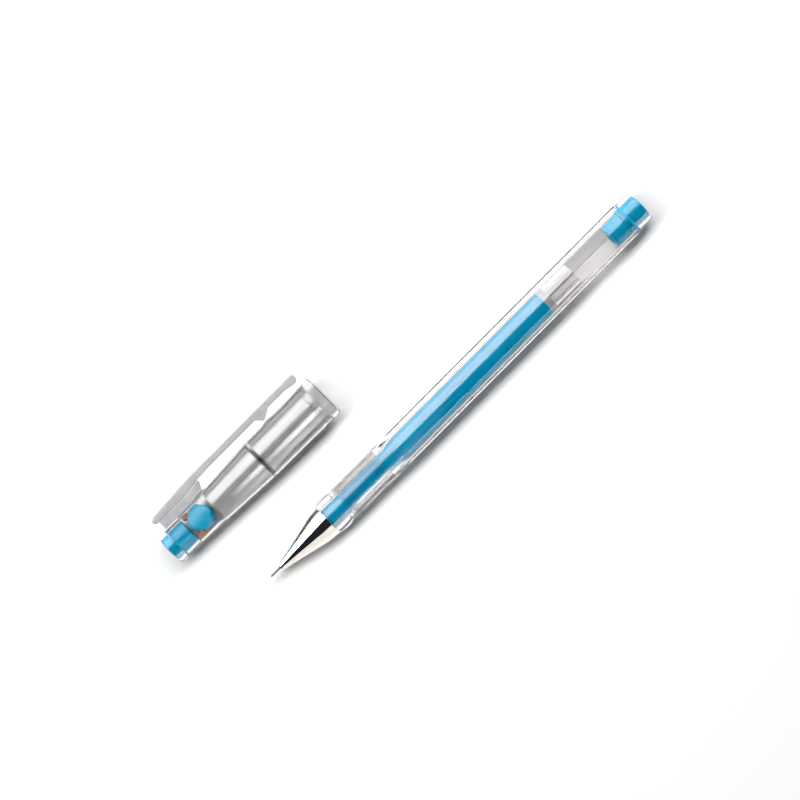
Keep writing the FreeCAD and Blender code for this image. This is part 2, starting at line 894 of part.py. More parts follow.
pieces = [
    make_tip_ball(),
    make_needle_tube(),
    make_tip_holder(),
    make_front_cone(),
    make_ink_tube(),
    make_ink_column(),
    make_ink_follower(),
    make_barrel(),
    make_tail_plug(),
    end_ring(
        "tail_end_ring", PEN_PLACE, FLANGE_BACK, END_RING_BACK, "head_rad", "end_ring_wall", False
    ),
    make_cap_shell(),
    make_crown_plug(),
    end_ring(
        "crown_end_ring",
        CAP_PLACE,
        "crown_ring_inset",
        CROWN_FLANGE,
        "crown_head_rad",
        "crown_ring_wall",
        True,
    ),
    make_tip_seal(),
    make_inner_cap(),
    make_sleeve(
        "rear_sleeve", "rear_at", "rear_rad - shell_wall", REAR_SLEEVE_END, "mid_rad - shell_wall"
    ),
    make_sleeve(
        "front_sleeve", FRONT_SLEEVE_START, "mid_rad - shell_wall", LIP_START, "lip_rad - shell_wall"
    ),
    make_clip_root(),
    make_clip_arm(),
]
doc.recompute()

for thing in doc.Objects:
    if "Invalid" in thing.State or "Error" in thing.State:
        raise ValueError(f"{thing.Name} did not rebuild: {thing.State}")
for piece in pieces:
    shape = piece.Shape
    if shape.isNull() or not shape.isValid() or len(shape.Solids) != 1:
        raise ValueError(f"{piece.Label} is not one valid solid")

os.makedirs("parts", exist_ok=True)
for piece in pieces:
    piece.Shape.exportStep(f"parts/{piece.Label}.step")
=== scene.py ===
"""Looks for the gel pen: fine meshes, plastics, chrome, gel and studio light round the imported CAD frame.

The pieces' sizes are in millimetres and are turned into metres by MM. The studio's are in metres. The
pen's pieces are drawn from the needle's tip (x = 0) towards the tail, the cap's from the crown's end
(x = 0) towards the mouth, both round their own long axis, which the frame gives.
"""

import math

import bmesh
import bpy
from mathutils import Matrix, Vector


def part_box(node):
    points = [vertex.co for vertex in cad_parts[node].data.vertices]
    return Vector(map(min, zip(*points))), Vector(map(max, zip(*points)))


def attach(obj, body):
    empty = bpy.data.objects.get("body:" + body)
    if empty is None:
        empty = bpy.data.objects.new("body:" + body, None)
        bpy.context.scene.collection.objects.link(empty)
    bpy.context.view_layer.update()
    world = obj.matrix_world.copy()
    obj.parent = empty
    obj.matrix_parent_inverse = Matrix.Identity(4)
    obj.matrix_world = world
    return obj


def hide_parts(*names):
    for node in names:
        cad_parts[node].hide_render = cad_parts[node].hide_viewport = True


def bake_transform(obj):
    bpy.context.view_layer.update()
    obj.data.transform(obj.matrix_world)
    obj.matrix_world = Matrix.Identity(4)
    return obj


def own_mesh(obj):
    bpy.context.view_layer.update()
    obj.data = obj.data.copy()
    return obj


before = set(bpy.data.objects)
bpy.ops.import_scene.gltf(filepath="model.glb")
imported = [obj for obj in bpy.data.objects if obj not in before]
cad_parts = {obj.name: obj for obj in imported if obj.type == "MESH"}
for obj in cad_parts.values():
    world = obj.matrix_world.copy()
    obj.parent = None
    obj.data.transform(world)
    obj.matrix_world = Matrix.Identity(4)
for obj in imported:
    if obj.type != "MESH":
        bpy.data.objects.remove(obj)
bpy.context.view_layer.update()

MM = 0.001
TURN = 2 * math.pi


def centre(node):
    """The middle of a node's box."""
    low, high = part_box(node)
    return (low + high) / 2


# Where the two long axes lie, from the frame.
PEN = Vector((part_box("tip_ball")[0].x, centre("front_cone").y, centre("front_cone").z))
CAP = Vector((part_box("crown_plug")[0].x, centre("crown_plug").y, centre("crown_plug").z))


def span(node, axis_point):
    """Where a node starts and ends along its long axis, in millimetres from the pen's or cap's end."""
    low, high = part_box(node)
    return (low.x - axis_point.x) / MM, (high.x - axis_point.x) / MM


def half_height(node):
    """A node's largest radius, in millimetres."""
    low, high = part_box(node)
    return (high.z - low.z) / 2 / MM


# ---------------------------------------------------------------- outlines


def arc_corner(before, at, after, radius, steps):
    """Points of a fillet of this radius at a corner, or the corner itself where there's no room."""
    a = (Vector(before) - Vector(at)).normalized()
    b = (Vector(after) - Vector(at)).normalized()
    angle = a.angle(b)
    if radius <= 0 or angle > math.radians(176) or angle < math.radians(4):
        return [tuple(at)]
    reach = radius / math.tan(angle / 2)
    room = 0.49 * min((Vector(before) - Vector(at)).length, (Vector(after) - Vector(at)).length)
    if reach > room:
        radius *= room / reach
        reach = room
    middle = Vector(at) + (a + b).normalized() * (radius / math.sin(angle / 2))
    start = Vector(at) + a * reach - middle
    stop = Vector(at) + b * reach - middle
    turn = start.angle_signed(stop)
    points = []
    for i in range(steps + 1):
        t = -turn * i / steps
        points.append(
            (
                middle.x + start.x * math.cos(t) - start.y * math.sin(t),
                middle.y + start.x * math.sin(t) + start.y * math.cos(t),
            )
        )
    return points


def softened(corners, radius, steps=4):
    """A closed outline with every corner rounded. A corner is (x, y) or (x, y, its own radius)."""
    out = []
    for i, corner in enumerate(corners):
        before, after = corners[i - 1], corners[(i + 1) % len(corners)]
        own = corner[2] if len(corner) > 2 else radius
        out += arc_corner(before[:2], corner[:2], after[:2], own, steps)
    return out


def bulged(start, stop, height, steps=8):
    """Points from start to stop along a shallow arc that stands out by height on the left."""
    a, b = Vector(start), Vector(stop)
    across = (b - a).orthogonal().normalized()
    points = []
    for i in range(1, steps):
        t = i / steps
        spot = a.lerp(b, t) + across * height * 4 * t * (1 - t)
        points.append((spot.x, spot.y, 0.0))
    return points


# ---------------------------------------------------------------- meshes


def finished(name, verts, faces, body, material, sharp=32.0):
    """An object from vertices in metres, with smooth faces and sharp creases, on its CAD body."""
    mesh = bpy.data.meshes.new(name)
    mesh.from_pydata(verts, [], faces)
    tidy = bmesh.new()
    tidy.from_mesh(mesh)
    bmesh.ops.remove_doubles(tidy, verts=tidy.verts, dist=1e-7)
    bmesh.ops.recalc_face_normals(tidy, faces=tidy.faces)
    tidy.to_mesh(mesh)
    tidy.free()
    mesh.shade_smooth()
    mesh.set_sharp_from_angle(angle=math.radians(sharp))
    piece = bpy.data.objects.new(name, mesh)
    bpy.context.scene.collection.objects.link(piece)
    mesh.materials.append(material)
    if body:
        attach(piece, body)
    return piece


def lathe_mesh(corners, axis_point, segments=160):
    """Vertices and faces of a closed outline of (x, radius) turned about the axis."""
    verts, faces = [], []
    count = len(corners)
    for x, r in corners:
        for k in range(segments):
            t = TURN * k / segments
            verts.append(
                (
                    axis_point.x + x * MM,
                    axis_point.y + r * MM * math.sin(t),
                    axis_point.z + r * MM * math.cos(t),
                )
            )
    for i in range(count):
        j = (i + 1) % count
        if corners[i][1] < 1e-6 and corners[j][1] < 1e-6:
            continue
        for k in range(segments):
            m = (k + 1) % segments
            ring = [i * segments + k, i * segments + m, j * segments + m, j * segments + k]
            if corners[i][1] < 1e-6:
                ring = [i * segments, j * segments + m, j * segments + k]
            elif corners[j][1] < 1e-6:
                ring = [i * segments + k, i * segments + m, j * segments]
            faces.append(ring)
    return verts, faces


def lathe(name, corners, axis_point, body, material, radius=0.08, steps=4, segments=160, sharp=32.0):
    """A piece turned round the axis from a closed outline, with its corners rounded."""
    verts, faces = lathe_mesh(softened(corners, radius, steps), axis_point, segments)
    return finished(name, verts, faces, body, material, sharp)


def loft(name, rings, axis_point, body, material, sharp=32.0):
    """A closed skin through rings of points, the last joined back to the first. A ring is
    (x, [radius at each of the same angles])."""
    verts, faces = [], []
    segments = len(rings[0][1])
    for x, radii in rings:
        for k, r in enumerate(radii):
            t = TURN * k / segments
            verts.append(
                (
                    axis_point.x + x * MM,
                    axis_point.y + r * MM * math.sin(t),
                    axis_point.z + r * MM * math.cos(t),
                )
            )
    for i in range(len(rings)):
        j = (i + 1) % len(rings)
        for k in range(segments):
            m = (k + 1) % segments
            faces.append([i * segments + k, i * segments + m, j * segments + m, j * segments + k])
    return finished(name, verts, faces, body, material, sharp)


def slab_mesh(outline, half, bevel, steps=3):
    """A flat outline of (x, y) in millimetres, made 2 * half thick along Z with rounded edges."""
    solid = bmesh.new()
    bottom = [solid.verts.new((x * MM, y * MM, -half * MM)) for x, y in outline]
    face = solid.faces.new(bottom)
    grown = bmesh.ops.extrude_face_region(solid, geom=[face])
    for vert in [g for g in grown["geom"] if isinstance(g, bmesh.types.BMVert)]:
        vert.co.z = half * MM
    bmesh.ops.recalc_face_normals(solid, faces=solid.faces)
    rims = [
        e for e in solid.edges if abs(e.verts[0].co.z - e.verts[1].co.z) < 1e-9 and len(e.link_faces) == 2
    ]
    bmesh.ops.bevel(
        solid, geom=rims, offset=bevel * MM, segments=steps, profile=0.5, affect="EDGES", clamp_overlap=True
    )
    return solid


# ---------------------------------------------------------------- materials


def material(name):
    """A new node material and its Principled shader."""
    made = bpy.data.materials.new(name)
    made.use_nodes = True
    shader = made.node_tree.nodes["Principled BSDF"]
    return made, made.node_tree, shader


def noise(tree, scale, detail=3.0, stretch=(1, 1, 1)):
    """A noise in the object's own coordinates, stretched along an axis where stretch is small."""
    place = tree.nodes.new("ShaderNodeTexCoord")
    mapping = tree.nodes.new("ShaderNodeMapping")
    mapping.inputs["Scale"].default_value = stretch
    made = tree.nodes.new("ShaderNodeTexNoise")
    made.inputs["Scale"].default_value = scale
    made.inputs["Detail"].default_value = detail
    tree.links.new(place.outputs["Object"], mapping.inputs["Vector"])
    tree.links.new(mapping.outputs["Vector"], made.inputs["Vector"])
    return made.outputs["Fac"]


def ramp(tree, value, low, high, at=(0.35, 0.65)):
    """A colour between low and high, following a value."""
    made = tree.nodes.new("ShaderNodeValToRGB")
    made.color_ramp.elements[0].position = at[0]
    made.color_ramp.elements[0].color = (*low, 1)
    made.color_ramp.elements[1].position = at[1]
    made.color_ramp.elements[1].color = (*high, 1)
    tree.links.new(value, made.inputs["Fac"])
    return made.outputs["Color"]


def bump(tree, shader, height, strength, distance):
    """Gives a shader's surface the small relief of a value. Distance is in metres."""
    made = tree.nodes.new("ShaderNodeBump")
    made.inputs["Strength"].default_value = strength
    made.inputs["Distance"].default_value = distance
    tree.links.new(height, made.inputs["Height"])
    tree.links.new(made.outputs["Normal"], shader.inputs["Normal"])


def clear_plastic(name, tint, ior, rough, gloss, wave):
    """Moulded clear plastic with the faint waviness of a moulding. Gloss is the share of its mirror
    reflection that is kept."""
    made, tree, shader = material(name)
    shader.inputs["Base Color"].default_value = (*tint, 1)
    shader.inputs["Specular Tint"].default_value = (gloss, gloss, gloss, 1)
    shader.inputs["Transmission Weight"].default_value = 1.0
    shader.inputs["IOR"].default_value = ior
    shader.inputs["Roughness"].default_value = rough
    bump(tree, shader, noise(tree, 260, 2.0, (0.25, 1, 1)), wave, 0.00002)
    return made


def solid_plastic(name, low, high, rough, scale=900, grain=0.05, gloss=0.5):
    """Moulded opaque plastic with a little colour variation and a fine skin."""
    made, tree, shader = material(name)
    tree.links.new(ramp(tree, noise(tree, scale * 0.3), low, high), shader.inputs["Base Color"])
    shader.inputs["Roughness"].default_value = rough
    shader.inputs["Specular IOR Level"].default_value = gloss
    bump(tree, shader, noise(tree, scale, 4.0), grain, 0.00002)
    return made


def metal(name, low, high, rough, stretch=(1, 1, 1), grain=0.05, scale=1200, metallic=1.0):
    """Polished or satin metal with fine marks that run along it."""
    made, tree, shader = material(name)
    marks = noise(tree, scale, 5.0, stretch)
    tree.links.new(ramp(tree, marks, low, high), shader.inputs["Base Color"])
    shader.inputs["Metallic"].default_value = metallic
    shader.inputs["Roughness"].default_value = rough
    bump(tree, shader, marks, grain, 0.00001)
    return made


CLEAR = clear_plastic(
    "clear_polystyrene",
    (0.97, 0.96, 0.965),
    ior=1.42,
    rough=0.015,
    gloss=0.5,
    wave=0.03,
)
CAP_CLEAR = clear_plastic(
    "clear_cap_plastic",
    (0.83, 0.83, 0.835),
    ior=1.42,
    rough=0.03,
    gloss=0.2,
    wave=0.04,
)
TUBE = clear_plastic("clear_tube", (0.99, 0.985, 0.99), ior=1.5, rough=0.02, gloss=1.0, wave=0.05)
TURQUOISE = solid_plastic("turquoise_plastic", (0.0, 0.28, 0.46), (0.0, 0.3, 0.5), rough=0.2, gloss=0.25)
INK = solid_plastic("turquoise_gel", (0.0, 0.44, 0.73), (0.0, 0.5, 0.81), rough=0.4, gloss=0.0)
GREASE = solid_plastic("follower_grease", (0.62, 0.61, 0.6), (0.7, 0.69, 0.67), rough=0.35, gloss=0.1)
RUBBER = solid_plastic(
    "brown_rubber",
    (0.3, 0.12, 0.06),
    (0.42, 0.19, 0.1),
    rough=0.6,
    scale=1500,
    grain=0.2,
)
HOLDER = solid_plastic("holder_plastic", (0.75, 0.75, 0.73), (0.82, 0.82, 0.8), rough=0.4)
CHROME = metal(
    "chrome_plate",
    (0.84, 0.83, 0.81),
    (0.9, 0.89, 0.88),
    rough=0.04,
    stretch=(0.2, 1, 1),
    grain=0.03,
)
STEEL = metal(
    "needle_steel",
    (0.1, 0.1, 0.1),
    (0.15, 0.15, 0.15),
    rough=0.28,
    stretch=(0.15, 1, 1),
    grain=0.1,
)
CARBIDE = metal("ball_carbide", (0.25, 0.25, 0.27), (0.33, 0.33, 0.35), rough=0.2)
SILVER = metal(
    "silver_liner",
    (0.36, 0.36, 0.365),
    (0.4, 0.4, 0.405),
    rough=0.25,
    stretch=(0.03, 1, 1),
    grain=0.1,
    metallic=0.33,
)


def frosted_plastic():
    """The clip's cloudy grey plastic: light passes, shapes don't."""
    made, tree, shader = material("frosted_plastic")
    tint = ramp(tree, noise(tree, 500), (0.33, 0.33, 0.34), (0.39, 0.39, 0.4))
    tree.links.new(tint, shader.inputs["Base Color"])
    shader.inputs["Transmission Weight"].default_value = 0.5
    shader.inputs["Roughness"].default_value = 0.22
    shader.inputs["IOR"].default_value = 1.5
    bump(tree, shader, noise(tree, 4000, 3.0), 0.15, 0.00002)
    return made


FROSTED = frosted_plastic()


# ---------------------------------------------------------------- pen


FLAT = 4.75             # half the width across the barrel's flats
CORNER = 2.0            # rounding of the barrel's long edges
GRIP = 4.8              # the round grip's radius
HOLLOW = 3.6            # half the width across the flats of the hollow
HOLLOW_CORNER = 0.9     # rounding of the hollow's corners
BARREL_FACE = span("front_cone", PEN)[1]
SPIGOT_FRONT, SEAM = span("barrel", PEN)


def hexagon_radius(turn, half, rounding):
    """How far a rounded hexagon with a corner on top reaches, this far round from the top."""
    off = abs((turn + math.pi / 6) % (math.pi / 3) - math.pi / 6)
    inner = (half - rounding) / math.cos(math.pi / 6)
    touch = math.atan2(rounding * 0.5, inner + rounding * math.cos(math.pi / 6))
    if off < touch:
        return inner * math.cos(off) + math.sqrt(rounding**2 - (inner * math.sin(off)) ** 2)
    return half / math.cos(math.pi / 6 - off)


def soft_least(a, b, sharpness=14.0):
    """The smaller of two radii, with a softly rounded change from one to the other."""
    low = min(a, b)
    return low - math.log(math.exp(-sharpness * (a - low)) + math.exp(-sharpness * (b - low))) / sharpness


def barrel():
    """The clear barrel, outside and bore, as one closed skin."""
    segments = 240
    turns = [TURN * k / segments for k in range(segments)]
    ring_len, neck_len, grip_len, blend_len = 4.5, 1.4, 14.6, 5.0
    ring_back = BARREL_FACE + ring_len
    grip_front = ring_back + neck_len
    grip_back = grip_front + grip_len
    blend_back = grip_back + blend_len
    bore, spigot, ring, neck = 3.2, 3.56, 4.84, 4.5
    outside = softened(
        [
            (SPIGOT_FRONT, bore, 0.05),
            (SPIGOT_FRONT, spigot, 0.12),
            (BARREL_FACE, spigot, 0.0),
            (BARREL_FACE, 4.35, 0.12),
            (BARREL_FACE + 0.5, 4.68, 0.4),
            (BARREL_FACE + 1.6, ring, 0.6),
            (ring_back - 0.6, ring, 0.5),
            (ring_back, neck, 0.3),
            (grip_front - 0.35, neck, 0.3),
            (grip_front, GRIP, 0.1),
            (grip_front, 0.0, 0.0),
        ],
        0.1,
        5,
    )
    rings = [(x, [r] * segments) for x, r in outside if r > 1 and x < grip_front + 0.01]
    grooves, pitch, depth, step = 21, 0.65, 0.4, 0.05
    first = grip_front + 0.35
    last = first + grooves * pitch
    x = grip_front + step
    while x < grip_back:
        r = GRIP
        if first < x < last:
            r -= depth * (0.5 - 0.5 * math.cos(TURN * (x - first) / pitch)) ** 2
        rings.append((x, [r] * segments))
        x += step
    blend_steps, corner_rise = 60, 0.55
    hexagon = [hexagon_radius(t, FLAT, CORNER) for t in turns]
    for i in range(blend_steps + 1):
        t = i / blend_steps
        reach = GRIP + 0.02 + corner_rise * t
        rings.append((grip_back + blend_len * t, [soft_least(h, reach) for h in hexagon]))
    rim, bevel = 0.15, 0.1
    for x in (blend_back + 0.2, SEAM - 0.4, SEAM - rim):
        rings.append((x, hexagon))
    for i in range(5):
        turn = i * math.pi / 8
        inset = rim * (1 - math.cos(turn))
        rings.append((SEAM - rim + rim * math.sin(turn), [h - inset for h in hexagon]))
    hollow = [hexagon_radius(t, HOLLOW, HOLLOW_CORNER) for t in turns]
    rings.append((SEAM, [h + bevel for h in hollow]))
    rings.append((SEAM - bevel, hollow))
    bore_steps = 12
    for i in range(bore_steps + 1):
        t = 1 - i / bore_steps
        smooth = t * t * (3 - 2 * t)
        rings.append((grip_back + 0.5 + blend_len * t, [bore + (h - bore) * smooth for h in hollow]))
    rings.append((SPIGOT_FRONT + 0.1, [bore] * segments))
    piece = loft("barrel_clear", rings, PEN, "barrel", CLEAR, 40)
    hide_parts("barrel")


def front_cone():
    """Bullet-shaped chromed cone with a turned lip at its nose."""
    front, back = span("front_cone", PEN)
    slope_end = front + 12.0
    bend_end = slope_end + 3.0
    needle_hole, nose_bore, holder_bore, spigot_bore = 0.34, 0.72, 2.83, 3.61
    outline = [
        (front, needle_hole),
        (front, 0.82, 0.1),
        (front + 0.32, 1.0, 0.15),
        (front + 0.75, 1.05, 0.2),
        (slope_end, 3.78, 0.0),
        *bulged((slope_end, 3.78), (bend_end, 4.25), 0.09),
        (bend_end, 4.25, 0.0),
        (back, 4.42, 0.12),
        (back, spigot_bore),
        (back - 3.95, spigot_bore),
        (back - 3.95, holder_bore),
        (front + 10.03, holder_bore),
        (front + 1.78, nose_bore),
        (front + 1.78, needle_hole),
    ]
    piece = lathe("cone_chrome", outline, PEN, "front_section", CHROME, 0.04, 5, 192, 25)
    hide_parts("front_cone")


def needle():
    """Drawn steel tube with its end rolled in over the ball, and the ball in it."""
    start, stop = span("needle_tube", PEN)
    outer, bore, edge = 0.28, 0.22, 0.02
    tube = [
        (start, 0.2, edge),
        (start, 0.225, edge),
        (start + 0.3, outer, 0.1),
        (stop, outer, edge),
        (stop, bore, edge),
        (start + 0.2, bore, edge),
    ]
    piece = lathe("needle_drawn_tube", tube, PEN, "front_section", STEEL, 0.02, 3, 64)
    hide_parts("needle_tube")
    ball = bmesh.new()
    bmesh.ops.create_uvsphere(ball, u_segments=48, v_segments=32, radius=half_height("tip_ball") * MM)
    bmesh.ops.translate(ball, verts=ball.verts, vec=centre("tip_ball"))
    mesh = bpy.data.meshes.new("writing_ball")
    ball.to_mesh(mesh)
    ball.free()
    mesh.shade_smooth()
    mesh.materials.append(CARBIDE)
    piece = bpy.data.objects.new("writing_ball", mesh)
    bpy.context.scene.collection.objects.link(piece)
    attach(piece, "front_section")
    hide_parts("tip_ball")


def refill():
    """Clear tube with a slimmer neck, the gel in it and the grease behind the gel."""
    start, stop = span("ink_tube", PEN)
    outer, neck, bore = half_height("ink_tube"), 2.75, 2.3
    shoulder = start + 27.3
    tube = [
        (start, bore),
        (start, neck, 0.1),
        (shoulder, neck, 6.0),
        (shoulder + 3.0, outer, 6.0),
        (stop, outer, 0.12),
        (stop, bore, 0.1),
    ]
    piece = lathe("refill_tube", tube, PEN, "front_section", TUBE, 0.05, 6, 160)
    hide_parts("ink_tube")
    grip = 0.03
    front, back = span("ink_column", PEN)
    gel = [(front, 0.0), (front, bore + grip, 0.02), (back, bore + grip, 0.02), (back, 0.0)]
    piece = lathe("gel_column", gel, PEN, "front_section", INK, 0.02, 2, 128)
    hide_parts("ink_column")
    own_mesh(piece)
    front, back = span("ink_follower", PEN)
    grease = [
        (front, 0.0),
        (front, bore + grip, 0.02),
        (back, bore + grip, 0.05),
        (back - 0.25, 1.5, 0.5),
        (back - 0.5, 0.0, 0.0),
    ]
    piece = lathe("grease_plug", grease, PEN, "follower", GREASE, 0.02, 4, 128)
    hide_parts("ink_follower")
    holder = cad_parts["tip_holder"]
    holder.data.materials.clear()
    holder.data.materials.append(HOLDER)


def tail():
    """Turquoise plug with its collar and flange, and the clear ring round its head."""
    front, end = span("tail_plug", PEN)
    stem, head, collar, flange, flange_len = 2.95, 3.4, 3.57, 4.57, 0.6
    hollow, hollow_end = 1.9, end - 3.0
    plug = [
        (front, hollow, 0.1),
        (front, stem - 0.3, 0.1),
        (front + 0.3, stem, 0.1),
        (front + 0.75, stem, 0.08),
        (front + 0.8, stem - 0.2, 0.05),
        (front + 1.05, stem - 0.2, 0.05),
        (front + 1.1, stem, 0.08),
        (SEAM - 1.0, stem, 0.0),
        (SEAM - 1.0, collar, 0.15),
        (SEAM, collar, 0.0),
        (SEAM, flange, 0.12),
        (SEAM + flange_len, flange, 0.12),
        (SEAM + flange_len, head, 0.1),
        (end, head, 0.6),
        (end, 0.0, 0.0),
        (hollow_end, 0.0, 0.0),
        (hollow_end, hollow, 0.2),
    ]
    piece = lathe("tail_plug_moulded", plug, PEN, "tail", TURQUOISE, 0.05, 5, 160)
    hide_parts("tail_plug")
    start, stop = span("tail_end_ring", PEN)
    inner, outer = 3.45, 4.6
    ring = [(start, inner), (stop, inner, 0.1), (stop, outer, 0.5), (start, outer, 0.12)]
    piece = lathe("tail_ring_clear", ring, PEN, "tail", CLEAR, 0.05, 6, 192)
    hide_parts("tail_end_ring")


# ---------------------------------------------------------------- cap


REAR_END, WEB_END, MID_GROOVE = 7.3, 15.8, 31.9     # places along the cap where its taper changes
LIP = 5.995             # the shell's largest radius
SHELL = [(3.0, 4.5), (REAR_END, 4.5), (WEB_END, 4.95), (MID_GROOVE, 5.8), (52.4, LIP), (54.75, LIP)]
WALL = 0.58             # the shell's wall
FINE_GROOVES = (2.65, 3.45, 4.25)               # how far back from the mouth they are


def shell_radius(x):
    """The cap shell's outer radius at a place along it."""
    for (x0, r0), (x1, r1) in zip(SHELL, SHELL[1:]):
        if x <= x1:
            return r0 + (r1 - r0) * (x - x0) / (x1 - x0)
    return SHELL[-1][1]


def cap_shell():
    """Clear shell with its mid groove, three fine grooves and a rounded lip."""
    start, mouth = span("cap_shell", CAP)
    plug_bore, seal_bore, liner_bore, mouth_bore = 3.35, 3.9, 5.42, 5.15
    seal_bore_end, lip_start = 13.3, mouth - 2.35
    outline = [(start, plug_bore, 0.05), (REAR_END, plug_bore, 0.05)]
    outline += [(REAR_END, seal_bore, 0.1), (seal_bore_end, seal_bore, 0.6)]
    outline += [(WEB_END, shell_radius(WEB_END) - WALL, 2.0)]
    outline += [(MID_GROOVE, shell_radius(MID_GROOVE) - WALL, 0.0)]
    outline += [(lip_start, liner_bore, 0.05), (lip_start, mouth_bore, 0.1)]
    outline += [(mouth, mouth_bore, 0.15), (mouth, LIP, 0.35)]
    for back in FINE_GROOVES:
        outline += groove(mouth - back, 0.36, 0.16)
    outline += groove(MID_GROOVE, 0.3, 0.14)
    outline += [(WEB_END, shell_radius(WEB_END), 30.0), (REAR_END, shell_radius(REAR_END), 10.0)]
    outline += [(start, shell_radius(start), 0.12)]
    piece = lathe("cap_shell_clear", outline, CAP, "cap", CAP_CLEAR, 0.05, 5, 224)
    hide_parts("cap_shell")


def groove(at, width, depth):
    """The corners of a groove in the shell, listed from its mouth side to its crown side."""
    top = shell_radius(at)
    return [
        (at + width / 2, top, 0.06),
        (at + width / 4, top - depth, 0.06),
        (at - width / 4, top - depth, 0.06),
        (at - width / 2, top, 0.06),
    ]


def crown():
    """Turquoise plug in the closed end and the clear ring round its head."""
    start, stop = span("crown_plug", CAP)
    plug_rad, flange, flange_start, flange_end = 3.3, 4.2, 2.6, 3.0
    plug = [
        (start, 0.0, 0.0),
        (start, plug_rad, 0.6),
        (flange_start, plug_rad, 0.05),
        (flange_start, flange, 0.1),
        (flange_end, flange, 0.1),
        (flange_end, plug_rad, 0.05),
        (stop, plug_rad, 0.35),
        (stop, 0.0, 0.0),
    ]
    piece = lathe("crown_plug_moulded", plug, CAP, "cap", TURQUOISE, 0.05, 6, 160)
    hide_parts("crown_plug")
    start, stop = span("crown_end_ring", CAP)
    inner, outer = 3.35, 4.45
    ring = [(start, inner, 0.1), (stop, inner), (stop, outer, 0.12), (start, outer, 0.5)]
    piece = lathe("crown_ring_clear", ring, CAP, "cap", CLEAR, 0.05, 6, 192)
    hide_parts("crown_end_ring")


def sleeves():
    """Thin satin silver liners behind and ahead of the mid groove. The front one has the shell's
    fine grooves too."""
    mouth = span("cap_shell", CAP)[1]
    skin, thick, half_groove, groove_depth = WALL + 0.04, 0.2, 0.25, 0.17
    for node in ("rear_sleeve", "front_sleeve"):
        start, stop = span(node, CAP)
        r0, r1 = shell_radius(start) - skin, shell_radius(stop) - skin
        outline = [(start, r0 - thick), (start, r0)]
        for back in reversed(FINE_GROOVES):
            at = mouth - back
            if start < at < stop - thick:
                r = shell_radius(at) - skin
                outline.append((at - half_groove, r, 0.02))
                outline.append((at, r - groove_depth, 0.02))
                outline.append((at + half_groove, r, 0.02))
        outline += [(stop, r1), (stop, r1 - thick)]
        piece = lathe(node + "_silver", outline, CAP, "cap", SILVER, 0.06, 4, 192)
        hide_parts(node)


ROLL = math.radians(-10)    # how far the inner cap and the seal are turned in the shell


def slab(name, plan, half, bevel, steps, material, roll=0.0, sharp=40.0):
    """A flat plan in the cap made thick, with rounded edges, turned about the cap's axis."""
    solid = slab_mesh(plan, half, bevel, steps)
    mesh = bpy.data.meshes.new(name)
    solid.to_mesh(mesh)
    solid.free()
    mesh.transform(Matrix.Translation(CAP) @ Matrix.Rotation(roll, 4, "X"))
    mesh.shade_smooth()
    mesh.set_sharp_from_angle(angle=math.radians(sharp))
    mesh.materials.append(material)
    piece = bpy.data.objects.new(name, mesh)
    bpy.context.scene.collection.objects.link(piece)
    return piece


def inner_cap():
    """Turquoise block with pointed ends, rounded all over, turned a little in the shell."""
    start, stop = span("inner_cap", CAP)
    wide, thick = 3.0, 2.75
    tail_end, tail_half, full_from = start + 0.1, 1.0, start + 2.45
    full_to, nose_half = stop - 1.6, 0.6
    plan = [
        (tail_end, -tail_half, 0.5),
        (full_from, -wide, 0.7),
        (full_to, -wide, 0.6),
        (stop, -nose_half, 0.4),
        (stop, nose_half, 0.4),
        (full_to, wide, 0.6),
        (full_from, wide, 0.7),
        (tail_end, tail_half, 0.5),
    ]
    outline = softened(plan, 0.5, 5)
    piece = slab("inner_cap_moulded", outline, thick, 0.5, 5, TURQUOISE, ROLL)
    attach(piece, "cap")
    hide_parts("inner_cap")


def seal():
    """Brown rubber pad, notched where the inner cap's rear end grips it."""
    start = span("tip_seal", CAP)[0] + 0.35
    stop, side, notch, deep, slope = start + 2.05, 3.78, 2.3, 1.0, 0.3
    plan = [
        (start, -side, 0.2),
        (stop, -side, 0.2),
        (stop, side, 0.2),
        (start, side, 0.2),
        (start, notch + slope, 0.1),
        (start + deep, notch, 0.1),
        (start + deep, -notch, 0.1),
        (start, -notch - slope, 0.1),
    ]
    piece = slab("seal_pad", softened(plan, 0.1, 4), 0.9, 0.1, 5, RUBBER, ROLL)
    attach(piece, "cap")
    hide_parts("tip_seal")


def with_stops(outline, longest):
    """An outline with points added so that no stretch is longer than this."""
    out = []
    for i, spot in enumerate(outline):
        a, b = Vector(spot), Vector(outline[(i + 1) % len(outline)])
        count = max(1, math.ceil((b - a).length / longest))
        out += [tuple(a.lerp(b, k / count)) for k in range(count)]
    return out


